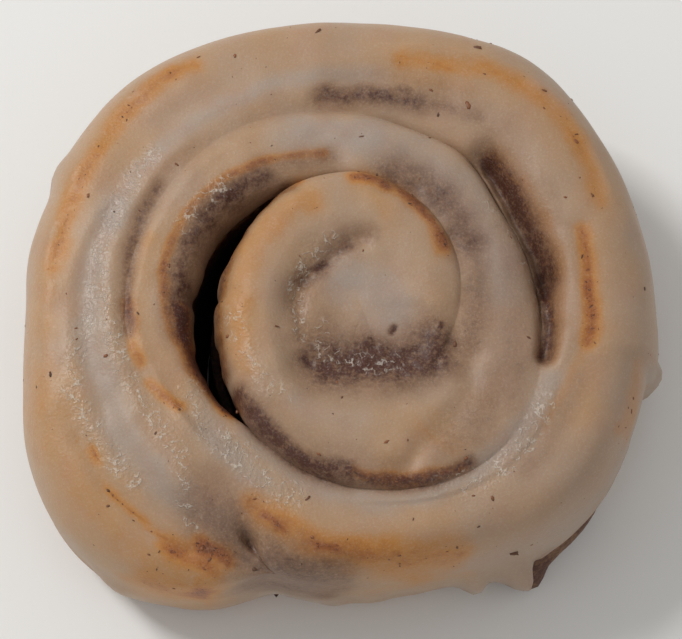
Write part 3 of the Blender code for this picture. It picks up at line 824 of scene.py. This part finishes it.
def make_icing_surface():
    """Half clear icing: dough colours under a pale film, with glints painted as pale lines and crinkles where it is
    wet.
    """
    material, tree = nodes_for("poured_icing")
    shader = tree.nodes["Principled BSDF"]
    # The cinnamon mask carries painted shade as well as stains; both darken the film and the dough under it.
    browning, cinnamon, cover, wet = painted(tree)
    under = use_group(tree, BAKED_COLOUR, Browning=browning, Cinnamon=cinnamon, Mottle=0.45)
    film = plus(tree, cover, times(tree, minus(tree, grain(tree, 2.5), 0.5), 0.12))
    bared = maths(tree, "MAXIMUM", steps_between(tree, browning, 0.15, 0.75), cinnamon)
    film = times(tree, film, minus(tree, 1.0, times(tree, bared, 0.92)))
    milk = mix_colour(tree, cinnamon, MILK, STAINED_AND_SHADED_MILK)
    colour = mix_colour(tree, film, under, milk)
    blush = times(tree, steps_between(tree, grain(tree, 7.0, 2.0), 0.45, 0.7), 0.22)
    blush = times(tree, blush, minus(tree, 1.0, bared))
    colour = mix_colour(tree, blush, colour, BLUSH)
    # Painted highlights: thin broken pale lines on the wet icing stand in for glints of the window; they also raise
    # the bump.
    waves = minus(tree, grain(tree, 2.2, 3.0), 0.5)
    crests = minus(tree, 1.0, steps_between(tree, maths(tree, "ABSOLUTE", waves), 0.0, 0.04))
    broken = steps_between(tree, grain(tree, 1.6, 2.0), 0.43, 0.56)
    threads = times(tree, times(tree, crests, broken), steps_between(tree, wet, 0.35, 0.8))
    frost = times(tree, steps_between(tree, grain(tree, 0.35, 2.0), 0.45, 0.8), 0.12)
    pale = maths(tree, "MAXIMUM", times(tree, threads, 0.62), frost)
    colour = mix_colour(tree, pale, colour, PALE_SPECK_AND_GLINT)
    tree.links.new(colour, shader.inputs["Base Color"])
    patchy = times(tree, wet, steps_between(tree, grain(tree, 3.0), 0.35, 0.55))
    dull = plus(tree, 0.44, times(tree, grain(tree, 4.0), 0.1))
    rough = minus(tree, dull, times(tree, patchy, 0.22))
    tree.links.new(rough, shader.inputs["Roughness"])
    folds = times(tree, plus(tree, times(tree, waves, 0.5), grain(tree, 0.8, 2.0)), wet)
    sugar = times(tree, grain(tree, 0.5, 2.0), 0.25)
    crinkle = plus(tree, plus(tree, folds, sugar), times(tree, threads, 0.35))
    tree.links.new(bumped(tree, crinkle, CRINKLE), shader.inputs["Normal"])
    shader.inputs["Specular IOR Level"].default_value = 0.32
    shader.inputs["Subsurface Weight"].default_value = 0.4
    shader.inputs["Subsurface Radius"].default_value = (1.0, 0.6, 0.4)
    shader.inputs["Subsurface Scale"].default_value = 0.0010
    return material


BEAD_HEIGHT = 2.2
THINNEST = 0.3
UNDER_PAINT = np.array((0.2, 0, 0.5, 0))
LIP_PAINT = np.array((0.8, 0.7, 0.3, 0))
HEM_PAINT = np.array((0.25, 0, 0.6, 0))


def under_seam(angles):
    """The radius of the seam on the icing's underside, which stays clear of the dough's side."""
    return rim_in(angles, SIDE_CLEARANCE)


def under_slot(angles):
    """Half the opening on the icing's underside, with the slot added where the gap is open."""
    open_half = open_gap(angles)
    return open_half + np.maximum(along(SLOT, angles) - SLOT_CLEARANCE, 0) * (open_half > 0)


def under_crevice(angles):
    """How far the icing's underside lies below its upper side in the crevices."""
    return crevice_icing(angles) - UNDER_CLEARANCE


def make_icing(upper):
    """The icing's skin, closed: upper side, underside, the lips of the open gap, and the side to its beaded edge."""
    rows = rows_of(ICING_ROW_STEP)
    turn_rows = round(TURN / ICING_ROW_STEP)
    last = rows >= SEAM_EXIT - ROUNDING
    crown_sink = ICING_TOP - UNDER_CLEARANCE
    low_radii, low_heights = crowns(rows, UNDER_COLUMNS, under_seam, under_slot, crown_sink, under_crevice)
    lower = place(rows[:, None], low_radii, low_heights)
    lower[..., 2] += sunk(lower) * soft_step(RIM_HEIGHT, 30, lower[..., 2])
    grids, paints = [upper, lower], [icing_paint(upper), UNDER_PAINT]

    gap = rows_within(rows, GAP)
    for at, column in ((gap, -1), (gap + turn_rows, 0)):
        lip = np.linspace(0, 1, 5)[None, :, None]
        grids.append(upper[at, column][:, None] * (1 - lip) + lower[at, column][:, None] * lip)
        paints.append(LIP_PAINT)

    angles = rows[last]
    down = np.linspace(0, 1, 40) ** 0.85
    edge = along(ICING_EDGE, angles)[:, None]
    rim = icing_seam(angles)[:, None]
    start = upper[last, -1, 2][:, None]
    level = start + (edge - start) * down
    lean = np.interp(level / start, *np.array(SIDE_LEAN).T)
    bead = np.sqrt(1 - (1 - np.clip((level - edge) / BEAD_HEIGHT, 0, 1)) ** 2)
    ends = np.clip(np.minimum(angles - SEAM_EXIT, TAIL_END - angles) / 12, 0, 1)[:, None]
    stand = 0.45 * lumps(place(angles[:, None], rim + 0 * level, level * 0.35), 5.0, 27)
    for centre, half_width, out in DRIPS:
        stand += out * np.exp(-((np.radians(angles[:, None] - centre) * rim / half_width) ** 2))
    stand = stand * ends * soft_step(start, start - 9, level)
    roll = 0.25 * np.exp(-(((level - edge - 2.0) / 1.6) ** 2)) * ends
    thick = SIDE_THICKNESS * bead + (stand + roll) * bead
    outer = place(angles[:, None], rim - SIDE_THICKNESS - lean + np.maximum(thick, THINNEST), level)
    few_down = down[::3]
    low_start = low_heights[last, -1][:, None]
    inner_level = low_start + (edge - low_start) * few_down
    inner_lean = np.interp(inner_level / low_start, *np.array(SIDE_LEAN).T)
    inner = place(angles[:, None], low_radii[last, -1][:, None] - inner_lean, inner_level)
    hem = np.stack([outer[:, -1], inner[:, -1]], 1)
    grids += [outer, inner, hem]
    paints += [icing_paint(outer), UNDER_PAINT, HEM_PAINT]
    return mesh_piece("poured_icing", grids, paints, make_icing_surface())


icing_surface = icing_top()
icing = make_icing(icing_surface)
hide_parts("icing")
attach(icing, "root")

# The spice flecks
# Grains of cinnamon bark and crumbs of dark crust that the icing picked up as it was poured. They are flat and
# irregular, 0.2 to 1.6 mm long, half sunk in the icing, and thickest where the crust is brown.

# The largest flecks: angle, radius and length.
LARGE_FLECKS = (
    (1179, 51.5, 1.4), (1147, 51.9, 1.5), (1144, 41.2, 1.3), (1296, 51.4, 1.0), (1023, 47.5, 1.6), (1327, 46.1, 1.2),
    (578, 26.5, 0.8), (1272, 52.9, 1.0), (699, 16.6, 1.1), (975, 33.2, 1.0), (640, 24.0, 0.9), (1150, 37.6, 1.1),
)
FLECK_COUNT = 420
LOWEST_FLECK = 24


def make_flecks(top, count):
    """Flecks as one mesh: each a squashed, uneven ball of 26 points, laid on the icing's surface at random.

    A place's chance is its area times a weight, which is greater on brown crust and 0 below LOWEST_FLECK.
    """
    chance = np.random.default_rng(7)
    across, onward = np.zeros_like(top), np.zeros_like(top)
    across[:, 1:-1] = top[:, 2:] - top[:, :-2]
    onward[1:-1] = top[2:] - top[:-2]
    facing = np.cross(onward, across)
    area = np.linalg.norm(facing, axis=-1)
    browning = icing_paint(top)[..., 0]
    weight = area * (0.25 + 3 * soft_step(0.3, 0.6, browning)) * (top[..., 2] > LOWEST_FLECK)
    picked = chance.choice(weight.size, count, p=(weight / weight.sum()).ravel())
    at = top.reshape(-1, 3)[picked]
    up = (facing / np.maximum(area, 1e-9)[..., None]).reshape(-1, 3)[picked]
    length = 0.22 + 0.75 * chance.random(count) ** 3.5
    angles, radii, sizes = np.array(LARGE_FLECKS).T
    for k, spot in enumerate(place(angles, radii, 0 * radii)):
        nearest = np.argmin(((top[..., :2] - spot[:2]) ** 2).sum(-1) + (top[..., 2] < LOWEST_FLECK) * 1e6)
        at[k], up[k], length[k] = top.reshape(-1, 3)[nearest], (0, 0, 1), sizes[k]
    up *= np.sign(up[:, 2:] + 1e-9)

    spin = chance.normal(size=(count, 3))
    along_it = np.cross(up, spin)
    along_it /= np.linalg.norm(along_it, axis=-1, keepdims=True)
    beside = np.cross(up, along_it)
    steps = np.linspace(0, np.pi, 5)[:, None]
    round_it = np.linspace(0, 2 * np.pi, 9)[None, :]
    girth = np.sin(steps)
    ball = np.stack([np.cos(steps) + 0 * round_it, girth * np.cos(round_it), girth * np.sin(round_it)])
    uneven = 1 + 0.35 * chance.uniform(-1, 1, (count, 5, 9))
    uneven[:, :, -1] = uneven[:, :, 0]
    uneven[:, 0], uneven[:, -1] = uneven[:, :1, 0], uneven[:, -1:, 0]
    long, wide = length / 2, length * chance.uniform(0.18, 0.35, count)
    thick = np.minimum(length * 0.16, 0.16)
    grids, paints = [], []
    for k in range(count):
        bumps = uneven[k][..., None]
        shape = long[k] * ball[0][..., None] * along_it[k] + wide[k] * ball[1][..., None] * beside[k]
        shape = shape + thick[k] * ball[2][..., None] * up[k]
        grids.append(at[k] + shape * bumps)
        paints.append(np.array((chance.random(), 0, 0, 0)))
    return mesh_piece("spice_flecks", grids, paints, make_spice())


DARK_BARK = (0.085, 0.040, 0.022)
RED_BARK = (0.27, 0.095, 0.035)


def make_spice():
    """Bark and burnt crumb, from red-brown to nearly black by each fleck's own mask."""
    material, tree = nodes_for("ground_cinnamon")
    shader = tree.nodes["Principled BSDF"]
    tone, _, _, _ = painted(tree)
    patchy = times(tree, tone, plus(tree, 0.5, grain(tree, 0.4)))
    tree.links.new(mix_colour(tree, patchy, DARK_BARK, RED_BARK), shader.inputs["Base Color"])
    tree.links.new(plus(tree, 0.35, times(tree, grain(tree, 0.8), 0.3)), shader.inputs["Roughness"])
    return material


flecks = make_flecks(icing_surface, FLECK_COUNT)
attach(flecks, "root")

# The setting
# A pale table, a broad window behind the roll and to its left, and the camera high over its front side.

TARGET = np.array((0.17, -2.43, 20.0)) * MM
DISTANCE = 0.45
ELEVATION = np.radians(72)
DAYLIGHT = (1.0, 0.99, 0.97)
TABLE_HALF = 1.5


def aim(made, at):
    """Turns an object's -Z axis towards a point, with its X axis level."""
    ahead = np.array(at) - np.array(made.location)
    flat = np.hypot(ahead[0], ahead[1])
    made.rotation_euler = (np.pi / 2 + np.arctan2(ahead[2], flat), 0, np.arctan2(-ahead[0], ahead[1]))


window_light = bpy.data.lights.new("window", "AREA")
window_light.size = 0.26
window_light.energy = 6.5
window_light.color = DAYLIGHT
window = bpy.data.objects.new("window", window_light)
window.location = (-0.60, 0.36, 0.88)
bpy.context.scene.collection.objects.link(window)
aim(window, (0, 0, 0.03))

world = bpy.data.worlds.new("room")
world.use_nodes = True
sky = world.node_tree.nodes["Background"]
sky.inputs["Color"].default_value = (*DAYLIGHT, 1)
sky.inputs["Strength"].default_value = 0.50
bpy.context.scene.world = world

table_mesh = bpy.data.meshes.new("table")
corners = [(x * TABLE_HALF, y * TABLE_HALF, 0) for x, y in ((-1, -1), (1, -1), (1, 1), (-1, 1))]
table_mesh.from_pydata(corners, [], [(0, 1, 2, 3)])
table = bpy.data.objects.new("table", table_mesh)
bpy.context.scene.collection.objects.link(table)
table_material, table_tree = nodes_for("table")
table_top = table_tree.nodes["Principled BSDF"]
table_top.inputs["Base Color"].default_value = (0.85, 0.85, 0.84, 1)
table_top.inputs["Roughness"].default_value = 0.8
table_mesh.materials.append(table_material)

lens = bpy.data.cameras.new("camera")
lens.sensor_width = 36
lens.lens = 136.5
lens.clip_end = 10
camera = bpy.data.objects.new("camera", lens)
camera.location = TARGET + DISTANCE * np.array((0, -np.cos(ELEVATION), np.sin(ELEVATION)))
bpy.context.scene.collection.objects.link(camera)
aim(camera, TARGET)
bpy.context.scene.camera = camera
bpy.context.scene.view_settings.view_transform = "Standard"
